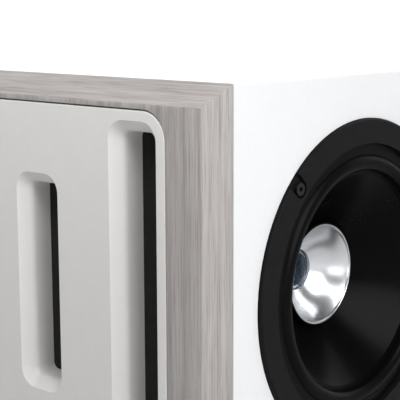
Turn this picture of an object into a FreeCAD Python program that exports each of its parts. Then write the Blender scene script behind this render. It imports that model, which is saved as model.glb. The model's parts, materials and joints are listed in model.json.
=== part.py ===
"""A bookshelf loudspeaker: a white lacquered cabinet with a bevelled oak frame round a slotted front plate,
a coaxial driver in each side, one midrange driver behind the front cloth, and terminals on the back.

Millimetres. +X is to the right, +Y to the back and +Z up. The origin is under the middle of the whole
speaker, on the surface that its four feet stand on. A driver is drawn in a frame of its own, whose +X is
its axis and points out of the cabinet, with zero on the face that the driver is mounted in.
"""

import FreeCAD, Part
import math
import os
import re

import Sketcher

SIZES = {
    # cabinet
    "cab_width": 360,
    "cab_depth": 292,
    "cab_height": 245,
    "panel": 15,
    "edge_round": 1.5,
    "brace_side": 22,
    "brace_back": 45,
    # front frame and slotted plate
    "bevel_in": 12.3,
    "bevel_forward": 11,
    "frame_side": 24.8,
    "frame_top": 3.1,
    "shadow_gap": 0.8,
    "plate_round": 16,
    "plate_depth": 20,
    "plate_edge_round": 0.7,
    "plate_skin": 4,
    "plate_skirt": 3,
    "slot_pitch": 78.6,
    "slot_width": 36.2,
    "outer_slot_margin": 5.6,
    "inner_slot_height": 131,
    "slot_round": 11,
    "slot_lip": 6.6,
    "slot_lip_round": 4.9,
    "peg_radius": 3,
    "peg_reach": 8,
    "peg_inset": 12,
    "cloth_sheet": 0.5,
    "cloth_margin": 3,
    "clearance": 0.2,
    "overlap": 1,
    # feet
    "foot_radius": 14,
    "foot_top_radius": 11.5,
    "foot_height": 6,
    "foot_inset": 28,
    "foot_recess_radius": 4.5,
    "foot_pilot_floor": 2,
    # terminals
    "terminal_width": 90,
    "terminal_height": 56,
    "terminal_sheet": 3,
    "terminal_rise": 62,
    "terminal_border": 8,
    "terminal_screw_inset": 5,
    "post_spacing": 38,
    "post_radius": 4,
    "post_reach": 18,
    "post_tail": 10,
    "post_flange_radius": 9,
    "post_flange_thick": 2,
    "socket_radius": 2.05,
    "socket_depth": 16,
    "collar_radius": 7,
    "collar_thick": 1.5,
    "knob_radius": 8,
    "knob_length": 10,
    "knob_flute_radius": 1,
    "knob_band": 1.5,
    "running_gap": 0.08,
    # crossover
    "board_width": 110,
    "board_depth": 70,
    "board_thick": 1.6,
    "board_rise": 6,
    "pillar_radius": 4,
    "pillar_inset": 6,
    "coil_radius": 17,
    "coil_hole": 7,
    "coil_height": 16,
    "capacitor_radius": 8,
    "capacitor_length": 32,
    # screws
    "screw_radius": 1.9,
    "screw_length": 13,
    "screw_head_radius": 3.5,
    "screw_head_height": 2.4,
    "screw_socket": 1.5,
    "screw_fit": 0.15,
    "screw_pocket": 5.1,
    "screw_sink": 0.1,
    # side driver, one in each side
    "side_from_front": 116,
    "side_flange_radius": 96,
    "side_flange_proud": 2.5,
    "side_flange_thick": 6,
    "side_flange_round": 1.2,
    "side_lip_radius": 81.8,
    "side_lip_depth": 4,
    "side_wall_radius": 79,
    "side_wall_thick": 1.5,
    "side_wall_depth": 14,
    "side_ledge_radius": 55,
    "side_ledge_depth": 54,
    "side_motor_depth": 62,
    "side_screw_circle": 88.8,
    "side_rim_width": 6.6,
    "side_roll_width": 9,
    "side_roll_rise": 2.4,
    "side_foot_width": 2.6,
    "side_rubber": 0.8,
    "side_neck_radius": 20.2,
    "side_neck_depth": 47,
    "side_paper": 1.2,
    "side_cone_drop": 3.5,
    "side_coil_depth": 71,
    "side_pole_radius": 19.1,
    "side_back_hole": 34,
    "side_plate_radius": 48,
    "side_magnet_radius": 50,
    "side_magnet_hole": 24,
    "side_plate_thick": 7,
    "side_magnet_thick": 15,
    "side_back_thick": 8,
    # midrange driver, behind the front cloth
    "mid_flange_radius": 47,
    "mid_flange_proud": -0.2,
    "mid_flange_thick": 5.5,
    "mid_flange_round": 0.5,
    "mid_lip_radius": 40,
    "mid_lip_depth": 4,
    "mid_wall_radius": 38.5,
    "mid_wall_thick": 1.2,
    "mid_wall_depth": 9,
    "mid_ledge_radius": 26,
    "mid_ledge_depth": 24,
    "mid_motor_depth": 30,
    "mid_screw_circle": 43.5,
    "mid_rim_width": 1.6,
    "mid_roll_width": 4.4,
    "mid_roll_rise": 2.2,
    "mid_foot_width": 1.6,
    "mid_rubber": 0.5,
    "mid_neck_radius": 9.7,
    "mid_neck_depth": 18,
    "mid_paper": 0.8,
    "mid_cone_drop": 1,
    "mid_coil_depth": 35,
    "mid_pole_radius": 8.8,
    "mid_back_hole": 17,
    "mid_plate_radius": 25,
    "mid_magnet_radius": 27,
    "mid_magnet_hole": 12,
    "mid_plate_thick": 4,
    "mid_magnet_thick": 10,
    "mid_back_thick": 5,
    # spiders, formers and gaps that both kinds of driver share
    "flange_gap": 0.5,
    "glue_line": 0.1,
    "former_wall": 0.4,
    "winding": 0.7,
    "magnet_gap": 0.6,
    "spider_sheet": 0.5,
    "spider_flat": 2,
    "spider_land": 3,
    "spider_wave": 1.4,
    # waveguide and dome in the middle of a side driver
    "mouth_radius": 29.6,
    "mouth_depth": 28.7,
    "throat_radius": 12.6,
    "throat_depth": 46,
    "throat_round": 6,
    "guide_wall": 1.2,
    "guide_base_radius": 17.5,
    "guide_base_depth": 49.2,
    "dome_radius": 12.2,
    "dome_rise": 3.6,
    "dome_sheet": 0.5,
    "tweeter_groove": 5,
}
WINDOWS = {"side": 12, "mid": 8}
WINDOW_SPOKE = 9
SCREWS_ROUND_DRIVER = 4
KNOB_FLUTES = 16
SPIDER_WAVES = 3

FRONT = "(-(bevel_forward + cab_depth + post_reach) / 2)"
WHITE_FRONT = f"({FRONT} + bevel_forward)"
BACK = f"({WHITE_FRONT} + cab_depth)"
BAFFLE_FRONT = f"({FRONT} + plate_depth + cloth_sheet + clearance)"
MIDDLE_HEIGHT = "(foot_height + cab_height / 2)"
PLATE_HALF_WIDTH = "(cab_width / 2 - bevel_in - frame_side - shadow_gap)"
PLATE_HALF_HEIGHT = "(cab_height / 2 - bevel_in - frame_top - shadow_gap)"

AHEAD = FreeCAD.Vector(1, 0, 0)
UP = FreeCAD.Vector(0, 0, 1)
DIRECTIONS = {
    "+X": FreeCAD.Vector(1, 0, 0),
    "+Y": FreeCAD.Vector(0, 1, 0),
    "+Z": FreeCAD.Vector(0, 0, 1),
}

doc = FreeCAD.newDocument("bookshelf_speaker")
sheet = doc.addObject("Spreadsheet::Sheet", "sizes")
for row, (alias, number) in enumerate(SIZES.items(), start=1):
    sheet.set(f"A{row}", alias)
    sheet.set(f"B{row}", str(number))
    sheet.setAlias(f"B{row}", alias)
doc.recompute()
kept = []


# ---------------------------------------------------------------- helpers


def on_sheet(text):
    """The expression with each size's name pointed at its cell."""
    return re.sub(r"\b[a-z][a-z_]*\b", lambda word: _cell(word.group()), str(text))


def _cell(word):
    return f"sizes.{word}" if word in SIZES else word


def amount(text):
    return float(sheet.evalExpression(on_sheet(text)))


def bind(item, **settings):
    for setting, text in settings.items():
        item.setExpression(setting, on_sheet(text))
    return item


def keep(item, label):
    """The item is one finished sub-part, and label names its file."""
    item.Label = label
    kept.append(item)
    return item


def put(item, x=0, y=0, z=0, turn=None):
    """Places the item at x, y, z, turned by a rotation where one is given."""
    if turn is not None:
        item.Placement = FreeCAD.Placement(FreeCAD.Vector(), turn)
    for axis, text in zip("xyz", (x, y, z)):
        item.setExpression(f"Placement.Base.{axis}", on_sheet(text))
    return item


def facing(direction, along=UP):
    return FreeCAD.Rotation(along, DIRECTIONS[direction])


def box(name, size, corner):
    item = doc.addObject("Part::Box", name)
    bind(item, Length=size[0], Width=size[1], Height=size[2])
    return put(item, *corner)


def centred_box(name, size, middle):
    corner = [f"{m} - ({s}) / 2" for m, s in zip(middle, size)]
    return box(name, size, corner)


def rod(name, radius, length, base, direction):
    item = doc.addObject("Part::Cylinder", name)
    bind(item, Radius=radius, Height=length)
    return put(item, *base, turn=facing(direction))


def cut(name, base, *tools):
    """The base less every tool."""
    item = doc.addObject("Part::Cut", name)
    item.Base = base
    item.Tool = tools[0] if len(tools) == 1 else fuse(f"{name}_tools", *tools)
    return item


def fuse(name, *shapes):
    item = doc.addObject("Part::MultiFuse", name)
    item.Shapes = list(shapes)
    return item


def group(name, members):
    item = doc.addObject("Part::Compound", name)
    item.Links = list(members)
    return item


def common(name, *shapes):
    item = doc.addObject("Part::MultiCommon", name)
    item.Shapes = list(shapes)
    return item


def origin_plane(body, role):
    return next(plane for plane in body.Origin.OriginFeatures if plane.Role == role)


def arc_between(start, end, radius, left):
    """The shorter arc from start to end, and whether it runs anticlockwise: left puts its centre there."""
    chord = end - start
    middle = (start + end) * 0.5
    rise = math.sqrt(max(radius**2 - chord.Length**2 / 4, 0))
    normal = FreeCAD.Vector(-chord.y, chord.x, 0).normalize()
    centre = middle + normal * (rise if left else -rise)
    first, last = (start, end) if left else (end, start)
    angles = [math.atan2(p.y - centre.y, p.x - centre.x) for p in (first, last)]
    circle = Part.Circle(centre, UP, radius)
    return Part.ArcOfCircle(circle, *angles)


def outline(body, role, points):
    """A closed sketch through the points, each (across, up) or, where an arc leaves it,
    (across, up, radius, "left" or "right" for the side that the arc's centre lies on)."""
    sketch = body.newObject("Sketcher::SketchObject", f"{body.Name}_sketch")
    sketch.AttachmentSupport = [(origin_plane(body, role), "")]
    sketch.MapMode = "FlatFace"
    add_loop(sketch, points)
    return sketch


def add_loop(sketch, points):
    corners = [FreeCAD.Vector(amount(p[0]), amount(p[1]), 0) for p in points]
    first = sketch.GeometryCount
    ends = []
    for number, point in enumerate(points):
        start, end = corners[number], corners[(number + 1) % len(points)]
        if len(point) == 4:
            left = point[3] == "left"
            sketch.addGeometry(arc_between(start, end, amount(point[2]), left))
            ends.append((1, 2) if left else (2, 1))
        else:
            sketch.addGeometry(Part.LineSegment(start, end))
            ends.append((1, 2))
    for number, point in enumerate(points):
        following = (number + 1) % len(points)
        edge, next_edge = first + number, first + following
        meet = Sketcher.Constraint("Coincident", edge, ends[number][1], next_edge, ends[following][0])
        sketch.addConstraint(meet)
        for kind, text, here in zip(("DistanceX", "DistanceY"), point, corners[number]):
            place = Sketcher.Constraint(kind, -1, 1, edge, ends[number][0], here)
            name_constraint(sketch, place, text)
        if len(point) == 4:
            name_constraint(sketch, Sketcher.Constraint("Radius", edge, amount(point[2])), point[2])


def name_constraint(sketch, constraint, text):
    index = sketch.addConstraint(constraint)
    sketch.setExpression(f"Constraints[{index}]", on_sheet(text))


def turned(name, points):
    """A body turned about its own X axis from points given as (along the axis, radius)."""
    body = doc.addObject("PartDesign::Body", name)
    sketch = outline(body, "XY_Plane", points)
    revolution = body.newObject("PartDesign::Revolution", f"{name}_turn")
    revolution.Profile = sketch
    revolution.ReferenceAxis = (sketch, ["H_Axis"])
    revolution.Angle = 360
    return body


def prism(name, role, points, length):
    """A body that pads the outline by its length, half to each side of the plane."""
    body = doc.addObject("PartDesign::Body", name)
    sketch = outline(body, role, points)
    pad = body.newObject("PartDesign::Pad", f"{name}_pad")
    pad.Profile = sketch
    pad.SideType = "Symmetric"
    bind(pad, Length=length)
    return body


def rectangle(half_width, half_height, across="0", up="0"):
    return [
        (f"{across} - {half_width}", f"{up} - {half_height}"),
        (f"{across} + {half_width}", f"{up} - {half_height}"),
        (f"{across} + {half_width}", f"{up} + {half_height}"),
        (f"{across} - {half_width}", f"{up} + {half_height}"),
    ]


def round_edges(body, name, radius, wanted):
    """Rounds the edges of the body that wanted() picks."""
    doc.recompute()
    tip = body.Tip
    edges = [f"Edge{n}" for n, edge in enumerate(tip.Shape.Edges, start=1) if wanted(edge)]
    fillet = body.newObject("PartDesign::Fillet", name)
    fillet.Base = (tip, edges)
    bind(fillet, Radius=radius)
    doc.recompute()
    return fillet


def runs_along(edge, axis):
    """Whether the edge is a straight line along the named axis."""
    if not isinstance(edge.Curve, Part.Line):
        return False
    return abs(getattr(edge.Curve.Direction, axis)) > 0.999


def rounded_block(name, half_width, half_height, length, radius):
    """A block along Y, half its length to each side, with its four long edges rounded."""
    body = prism(name, "XZ_Plane", rectangle(half_width, half_height), length)
    round_edges(body, f"{name}_round", radius, lambda edge: runs_along(edge, "y"))
    return body


def screw(name, base, turn, length="screw_length"):
    """A socket-head screw whose head stands on base; turn points the head, which is made along +Z."""
    head = doc.addObject("Part::Cylinder", f"{name}_head")
    bind(head, Radius="screw_head_radius", Height="screw_head_height")
    shank = doc.addObject("Part::Cylinder", f"{name}_shank")
    bind(shank, Radius="screw_radius", Height=length)
    put(shank, z=f"-({length})")
    socket = doc.addObject("Part::Prism", f"{name}_socket")
    socket.Polygon = 6
    bind(socket, Circumradius="screw_socket", Height="screw_head_height")
    put(socket, z="screw_head_height / 3")
    item = cut(name, fuse(f"{name}_solid", head, shank), socket)
    return put(item, *base, turn=turn)


# ---------------------------------------------------------------- cabinet


def driver_seats():
    """Each driver's name, its kind, where its face is and which way it looks."""
    side = {"y": f"{WHITE_FRONT} + side_from_front", "z": MIDDLE_HEIGHT}
    return {
        "right": ("side", {"x": "cab_width / 2", **side, "turn": facing("+X", AHEAD)}),
        "left": ("side", {"x": "-cab_width / 2", **side, "turn": FreeCAD.Rotation(UP, 180)}),
        "mid": ("mid", {"x": "0", "y": BAFFLE_FRONT, "z": MIDDLE_HEIGHT, "turn": FreeCAD.Rotation(UP, -90)}),
    }


def rebate_depth(kind):
    return f"({kind}_flange_thick - {kind}_flange_proud)"


def driver_hole(name, kind, seat):
    """What a driver needs cut out of its panel: the rebate, the hole and the holes for its screws."""
    deep = rebate_depth(kind)
    rebate = (f"{kind}_flange_radius + flange_gap", f"{deep} + overlap")
    hole = (f"{kind}_wall_radius + flange_gap", "4 * panel")
    pieces = [
        rod(f"{name}_rebate", *rebate, (f"-{deep}", "0", "0"), "+X"),
        rod(f"{name}_cutout", *hole, ("-2 * panel", "0", "0"), "+X"),
    ]
    for number, (up, along) in enumerate(screw_circle(kind)):
        base = ("-2 * panel", along, up)
        pieces.append(rod(f"{name}_pilot_{number}", "screw_radius + screw_fit", "2 * panel", base, "+X"))
    return put(fuse(f"{name}_hole", *pieces), **seat)


def screw_circle(kind):
    """The places of a driver's screws, as (up, along) in its own frame."""
    places = []
    for number in range(SCREWS_ROUND_DRIVER):
        angle = 45 + number * 360 / SCREWS_ROUND_DRIVER
        places.append((f"{kind}_screw_circle * sin({angle})", f"{kind}_screw_circle * cos({angle})"))
    return places


def mitred_panel(label, shell, points, *holes):
    wedge = put(prism(f"{label}_wedge", "XZ_Plane", points, "3 * cab_depth"), z=MIDDLE_HEIGHT)
    panel = common(f"{label}_mitred", shell, wedge)
    keep(cut(label, panel, *holes) if holes else panel, label)


def foot_places():
    across = "cab_width / 2 - foot_inset"
    front, back = f"{WHITE_FRONT} + foot_inset", f"{BACK} - foot_inset"
    return {
        "front_left": (f"-({across})", front),
        "front_right": (across, front),
        "rear_left": (f"-({across})", back),
        "rear_right": (across, back),
    }


def terminal_screw_places():
    across = "(terminal_width / 2 - terminal_screw_inset)"
    up = "(terminal_height / 2 - terminal_screw_inset)"
    return [(f"{x} * {across}", f"terminal_rise + {z} * {up}") for x in (-1, 1) for z in (-1, 1)]


def make_cabinet(seats):
    half = ("(cab_width / 2)", "(cab_height / 2)")
    outer = rounded_block("cabinet_outside", *half, "cab_depth", "edge_round")
    centre_y = f"{WHITE_FRONT} + cab_depth / 2"
    put(outer, y=centre_y, z=MIDDLE_HEIGHT)
    inside = ("cab_width - 2 * panel", "2 * cab_depth", "cab_height - 2 * panel")
    hollow = centred_box("cabinet_inside", inside, ("0", centre_y, MIDDLE_HEIGHT))
    shell = cut("cabinet_shell", outer, hollow)

    w, t = "cab_width / 2", "panel"
    up = "cab_height / 2"
    top = [(f"-{w}", up), (f"-{w} + {t}", f"{up} - {t}"), (f"{w} - {t}", f"{up} - {t}"), (w, up)]
    bottom = [(x, f"-({z})") for x, z in top]
    right = [(w, f"-{up}"), (f"{w} - {t}", f"-{up} + {t}"), (f"{w} - {t}", f"{up} - {t}"), (w, up)]
    left = [(f"-({x})", z) for x, z in right]
    foot_pilots = []
    pilot = ("screw_radius + screw_fit", "foot_height + panel - foot_pilot_floor")
    for name, (x, y) in foot_places().items():
        foot_pilots.append(rod(f"foot_pilot_{name}", *pilot, (x, y, "0"), "+Z"))
    mitred_panel("top_panel", shell, top)
    mitred_panel("bottom_panel", shell, bottom, *foot_pilots)
    mitred_panel("right_panel", shell, right, driver_hole("right_side", *seats["right"]))
    mitred_panel("left_panel", shell, left, driver_hole("left_side", *seats["left"]))

    size = ("cab_width - 2 * panel", "panel", "cab_height - 2 * panel")
    baffle = centred_box("baffle_board", size, ("0", f"{BAFFLE_FRONT} + panel / 2", MIDDLE_HEIGHT))
    pegs = [
        rod(f"peg_hole_{n}", "peg_radius + clearance", "2 * panel", (x, FRONT, z), "+Y")
        for n, (x, z) in enumerate(peg_places())
    ]
    keep(cut("front_baffle", baffle, driver_hole("front", *seats["mid"]), *pegs), "front_baffle")

    rear = centred_box("rear_board", size, ("0", f"{BACK} - panel / 2", MIDDLE_HEIGHT))
    window = ("terminal_width - 2 * terminal_border", "4 * panel", "terminal_height - 2 * terminal_border")
    holes = [centred_box("terminal_window", window, ("0", BACK, "terminal_rise"))]
    seat_size = ("terminal_width + 2 * clearance", "2 * terminal_sheet", "terminal_height + 2 * clearance")
    holes.append(centred_box("terminal_rebate", seat_size, ("0", BACK, "terminal_rise")))
    for number, (x, z) in enumerate(terminal_screw_places()):
        base = (x, f"{BACK} - 2 * panel", z)
        holes.append(rod(f"rear_pilot_{number}", "screw_radius + screw_fit", "3 * panel", base, "+Y"))
    keep(cut("rear_panel", rear, *holes), "rear_panel")

    tall = ("brace_side", "brace_side", "cab_height - 2 * panel")
    keep(centred_box("brace", tall, ("0", f"{BACK} - panel - brace_back", MIDDLE_HEIGHT)), "brace")


# ---------------------------------------------------------------- front


def peg_places():
    up = f"({PLATE_HALF_HEIGHT} - peg_inset)"
    return [(f"{x} * slot_pitch", f"{MIDDLE_HEIGHT} + {z} * {up}") for x in (-1, 1) for z in (-1, 1)]


def slot_centres():
    """Each slot's place across the plate and half its height: tall at the ends, short in the middle."""
    tall = f"({PLATE_HALF_HEIGHT} - outer_slot_margin)"
    heights = {-1.5: tall, -0.5: "(inner_slot_height / 2)", 0.5: "(inner_slot_height / 2)", 1.5: tall}
    return [(f"{step} * slot_pitch", height) for step, height in heights.items()]


def make_front_frame():
    """One ring with a bevel all round it: deep where it meets the cabinet, narrower at its face."""
    block = doc.addObject("Part::Wedge", "front_frame_block")
    bind(
        block,
        Xmin="-(cab_width / 2 - bevel_in)",
        Xmax="cab_width / 2 - bevel_in",
        Zmin="-(cab_height / 2 - bevel_in)",
        Zmax="cab_height / 2 - bevel_in",
        X2min="-cab_width / 2",
        X2max="cab_width / 2",
        Z2min="-cab_height / 2",
        Z2max="cab_height / 2",
        Ymin="0",
        Ymax="bevel_forward",
    )
    half = (f"({PLATE_HALF_WIDTH} + shadow_gap)", f"({PLATE_HALF_HEIGHT} + shadow_gap)")
    opening = rounded_block("front_frame_opening", *half, "4 * bevel_forward", "plate_round + shadow_gap")
    frame = cut("front_frame", block, opening)
    put(frame, y=FRONT, z=MIDDLE_HEIGHT)
    keep(frame, "front_frame")


def make_slotted_plate():
    """A moulded plate with four rounded slots, cored out behind, with a peg at each corner."""
    plate = rounded_block("plate_block", PLATE_HALF_WIDTH, PLATE_HALF_HEIGHT, "plate_depth", "plate_round")
    slots = plate.newObject("Sketcher::SketchObject", "slots")
    slots.AttachmentSupport = [(origin_plane(plate, "XZ_Plane"), "")]
    slots.MapMode = "FlatFace"
    for across, half_height in slot_centres():
        clear = ("(slot_width / 2 - slot_lip)", f"({half_height} - slot_lip)")
        add_loop(slots, rectangle(*clear, f"({across})"))
    solid = plate.Shape.Volume
    pocket = plate.newObject("PartDesign::Pocket", "slot_pocket")
    pocket.Profile = slots
    pocket.SideType = "Symmetric"
    bind(pocket, Length="2 * plate_depth")
    doc.recompute()
    if plate.Shape.Volume > 0.95 * solid:
        raise RuntimeError("the slots were not cut out of the plate")
    edge_of_plate = amount(PLATE_HALF_WIDTH) - 1
    tall = amount(PLATE_HALF_HEIGHT) - amount("outer_slot_margin")

    def corner_of_slot(edge):
        middle = edge.CenterOfMass
        return runs_along(edge, "y") and abs(middle.x) < edge_of_plate and abs(middle.z) < tall

    round_edges(plate, "slot_corners", "slot_round - slot_lip", corner_of_slot)
    face = -amount("plate_depth") / 2

    def rim_of_slot(edge):
        box_of_edge = edge.BoundBox
        flat = abs(box_of_edge.YMin - face) < 0.01 and abs(box_of_edge.YMax - face) < 0.01
        inside = max(abs(box_of_edge.ZMin), abs(box_of_edge.ZMax)) < tall
        return flat and inside and max(abs(box_of_edge.XMin), abs(box_of_edge.XMax)) < edge_of_plate

    doc.recompute()
    tip = plate.Tip
    lips = plate.newObject("PartDesign::Chamfer", "slot_lips")
    lips.Base = (tip, [f"Edge{n}" for n, edge in enumerate(tip.Shape.Edges, start=1) if rim_of_slot(edge)])
    bind(lips, Size="slot_lip")
    foot_of_lip = face + amount("slot_lip")

    def inner_edge_of_lip(edge):
        box_of_edge = edge.BoundBox
        return abs(box_of_edge.YMin - foot_of_lip) < 0.01 and abs(box_of_edge.YMax - foot_of_lip) < 0.01

    round_edges(plate, "slot_lip_edges", "slot_lip_round", inner_edge_of_lip)

    def rim_of_plate(edge):
        box_of_edge = edge.BoundBox
        flat = abs(box_of_edge.YMin - face) < 0.01 and abs(box_of_edge.YMax - face) < 0.01
        reach_x = max(abs(box_of_edge.XMin), abs(box_of_edge.XMax))
        reach_z = max(abs(box_of_edge.ZMin), abs(box_of_edge.ZMax))
        return flat and (reach_x > edge_of_plate or reach_z > amount(PLATE_HALF_HEIGHT) - 1)

    round_edges(plate, "plate_rim", "plate_edge_round", rim_of_plate)

    cores = []
    wall = "slot_lip + plate_skirt"
    width = f"slot_pitch - slot_width + 2 * slot_lip - 2 * ({wall})"
    height = f"2 * {PLATE_HALF_HEIGHT} - 4 * peg_inset"
    for step in (-1, 0, 1):
        middle = (f"{step} * slot_pitch", "plate_skin", "0")
        cores.append(centred_box(f"plate_core_{step + 1}", (width, "plate_depth", height), middle))
    body = cut("plate_cored", plate, *cores)
    pegs = []
    for number, (x, z) in enumerate(peg_places()):
        base = (x, "plate_depth / 2 - overlap", f"{z} - {MIDDLE_HEIGHT}")
        pegs.append(rod(f"plate_peg_{number}", "peg_radius", "peg_reach + overlap", base, "+Y"))
    moulding = fuse("slotted_plate", body, *pegs)
    put(moulding, y=f"{FRONT} + plate_depth / 2", z=MIDDLE_HEIGHT)
    keep(moulding, "slotted_plate")


def make_grille_cloth():
    size = (
        f"2 * ({PLATE_HALF_WIDTH} - cloth_margin)",
        "cloth_sheet",
        f"2 * ({PLATE_HALF_HEIGHT} - cloth_margin)",
    )
    sheet_middle = ("0", f"{FRONT} + plate_depth + cloth_sheet / 2", MIDDLE_HEIGHT)
    holes = [
        rod(f"cloth_hole_{n}", "peg_radius + clearance", "2 * panel", (x, FRONT, z), "+Y")
        for n, (x, z) in enumerate(peg_places())
    ]
    keep(cut("grille_cloth", centred_box("cloth_sheet_box", size, sheet_middle), *holes), "grille_cloth")


# ---------------------------------------------------------------- drivers


def named(kind):
    """Gives the full name of a size of one kind of driver from the rest of its name."""
    return lambda size: f"{kind}_{size}"


def make_basket(name, kind, seat):
    """Cast basket: a flange that clamps the panel, a wall, a tapering cage and a ring on the motor."""
    k = named(kind)
    proud, back = k("flange_proud"), f"({k('flange_proud')} - {k('flange_thick')})"
    ledge = f"({k('flange_proud')} - {k('lip_depth')})"
    inner = f"({k('wall_radius')} - {k('wall_thick')})"
    cage = f"({k('ledge_radius')} + 2 * {k('wall_thick')})"
    ring_front = f"-{k('motor_depth')} + {k('wall_thick')}"
    spider_seat = f"{k('ledge_radius')} - {k('foot_width')} - spider_land"
    points = [
        (proud, k("lip_radius")),
        (proud, f"{k('flange_radius')} - {k('flange_round')}", k("flange_round"), "left"),
        (f"{proud} - {k('flange_round')}", k("flange_radius")),
        (back, k("flange_radius")),
        (back, k("wall_radius")),
        (f"-{k('wall_depth')}", k("wall_radius")),
        (f"-{k('ledge_depth')} + 2 * {k('wall_thick')}", cage),
        (f"-{k('motor_depth')}", cage),
        (f"-{k('motor_depth')}", k("back_hole")),
        (ring_front, k("back_hole")),
        (ring_front, spider_seat),
        (f"-{k('ledge_depth')}", spider_seat),
        (f"-{k('ledge_depth')}", k("ledge_radius")),
        (f"-{k('ledge_depth')} + 2 * {k('wall_thick')}", f"{cage} - {k('wall_thick')}"),
        (f"-{k('wall_depth')}", inner),
        (ledge, inner),
        (ledge, k("lip_radius")),
    ]
    casting = turned(f"{name}_basket_casting", points)
    cutters = basket_windows(name, kind, cage)
    for number, (up, along) in enumerate(screw_circle(kind)):
        hole = ("screw_radius + screw_fit", f"{k('flange_thick')} + 2 * overlap")
        cutters.append(rod(f"{name}_screw_hole_{number}", *hole, (f"{back} - overlap", along, up), "+X"))
        pocket_base = (f"{proud} - screw_head_height - screw_sink", along, up)
        pocket = ("screw_pocket", "2 * screw_head_height")
        cutters.append(rod(f"{name}_screw_pocket_{number}", *pocket, pocket_base, "+X"))
        cutters.append(pocket_mouth(f"{name}_pocket_mouth_{number}", kind, number))
    basket = cut(f"{name}_basket", casting, *cutters)
    keep(put(basket, **seat), f"{name}_basket")


def basket_windows(name, kind, cage):
    """The windows between the spokes of the cage."""
    k = named(kind)
    count = WINDOWS[kind]
    length = f"{k('ledge_depth')} - {k('wall_depth')} - 8 * {k('wall_thick')}"
    width = f"2 * {math.pi} * {cage} / {count} - {WINDOW_SPOKE} / 2"
    start = f"-{k('ledge_depth')} + 4 * {k('wall_thick')}"
    windows = []
    for number in range(count):
        window = doc.addObject("Part::Box", f"{name}_window_{number}")
        bind(window, Length=length, Width=width, Height=k("flange_radius"))
        put(window, x=start, y=f"-({width}) / 2", z=f"{k('ledge_radius')} / 2")
        turner = group(f"{name}_window_turned_{number}", [window])
        windows.append(put(turner, turn=FreeCAD.Rotation(AHEAD, (number + 0.5) * 360 / count)))
    return windows


def pocket_mouth(name, kind, number):
    """Opens a screw's pocket to the rim of the flange."""
    mouth = doc.addObject("Part::Box", name)
    bind(mouth, Length="2 * screw_head_height", Width="2 * screw_pocket", Height=f"{kind}_flange_radius / 2")
    base = f"{kind}_flange_proud - screw_head_height - screw_sink"
    put(mouth, x=base, y="-screw_pocket", z=f"{kind}_screw_circle")
    turner = group(f"{name}_turned", [mouth])
    return put(turner, turn=FreeCAD.Rotation(AHEAD, 45 + number * 360 / SCREWS_ROUND_DRIVER))


def driver_stations(kind):
    """Radii and depths that several pieces of a driver share, in the driver's own frame."""
    k = named(kind)
    foot = f"({k('flange_proud')} - {k('lip_depth')})"
    outer = f"({k('lip_radius')} - clearance)"
    roll_outer = f"({outer} - {k('rim_width')})"
    roll_inner = f"({roll_outer} - {k('roll_width')})"
    return {
        "foot": foot,
        "outer": outer,
        "roll_outer": roll_outer,
        "roll_inner": roll_inner,
        "cone_edge": f"({roll_inner} - {k('foot_width')})",
        "low_foot": f"({foot} - {k('cone_drop')})",
        "rubber": k("rubber"),
        "neck": k("neck_radius"),
        "neck_depth": k("neck_depth"),
        "paper": k("paper"),
    }


def make_surround(name, kind, seat):
    """A low roll of rubber between the basket's ledge and the edge of the cone, which lies deeper."""
    s = driver_stations(kind)
    top = f"({s['foot']} + {s['rubber']})"
    low_top = f"({s['low_foot']} + {s['rubber']})"
    crest = f"({s['roll_outer']} + {s['roll_inner']}) / 2"
    half, rise = f"({kind}_roll_width / 2)", f"{kind}_roll_rise"
    outside = f"(({half})^2 + ({rise})^2) / (2 * ({rise}))"
    thin_half, thin_rise = f"({half} - {s['rubber']})", f"({rise} - {s['rubber']})"
    inside = f"(({thin_half})^2 + ({thin_rise})^2) / (2 * ({thin_rise}))"
    points = [
        (s["foot"], s["outer"]),
        (top, s["outer"]),
        (top, s["roll_outer"], outside, "right"),
        (f"{top} + {rise}", crest, outside, "right"),
        (top, s["roll_inner"]),
        (low_top, s["roll_inner"]),
        (low_top, s["cone_edge"]),
        (s["low_foot"], s["cone_edge"]),
        (s["low_foot"], f"{s['roll_inner']} + {s['rubber']}"),
        (top, f"{s['roll_inner']} + {s['rubber']}", inside, "left"),
        (f"{top} + {thin_rise}", crest, inside, "left"),
        (top, f"{s['roll_outer']} - {s['rubber']}"),
        (s["foot"], f"{s['roll_outer']} - {s['rubber']}"),
    ]
    keep(put(turned(f"{name}_surround", points), **seat), f"{name}_surround")


def make_cone(name, kind, seat):
    """A thin curved cone from the surround's inner foot down to the coil former."""
    s = driver_stations(kind)
    neck = f"({s['neck']} + glue_line)"
    lip = f"({s['low_foot']} - glue_line)"
    bow = f"(8 * {kind}_neck_depth)"
    points = [
        (lip, f"{s['roll_inner']} - glue_line"),
        (lip, s["cone_edge"], bow, "right"),
        (f"-{s['neck_depth']}", neck),
        (f"-{s['neck_depth']} - 1.4 * {s['paper']}", neck, bow, "left"),
        (f"{lip} - {s['paper']}", f"{s['cone_edge']} + 0.4 * {s['paper']}"),
        (f"{lip} - {s['paper']}", f"{s['roll_inner']} - glue_line"),
    ]
    keep(put(turned(f"{name}_cone", points), **seat), f"{name}_cone")


def make_voice_coil(name, kind, seat):
    """The coil's former with its winding, which hangs in the magnet's gap."""
    s = driver_stations(kind)
    inner = f"({s['neck']} - former_wall)"
    end = f"{kind}_coil_depth"
    wound = f"({kind}_plate_thick + {kind}_paper * 4)"
    points = [
        (f"-{s['neck_depth']} + {s['paper']} / 2", inner),
        (f"-{s['neck_depth']} + {s['paper']} / 2", s["neck"]),
        (f"-{end} + {wound}", s["neck"]),
        (f"-{end} + {wound}", f"{s['neck']} + winding"),
        (f"-{end}", f"{s['neck']} + winding"),
        (f"-{end}", inner),
    ]
    keep(put(turned(f"{name}_voice_coil", points), **seat), f"{name}_voice_coil")


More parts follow.
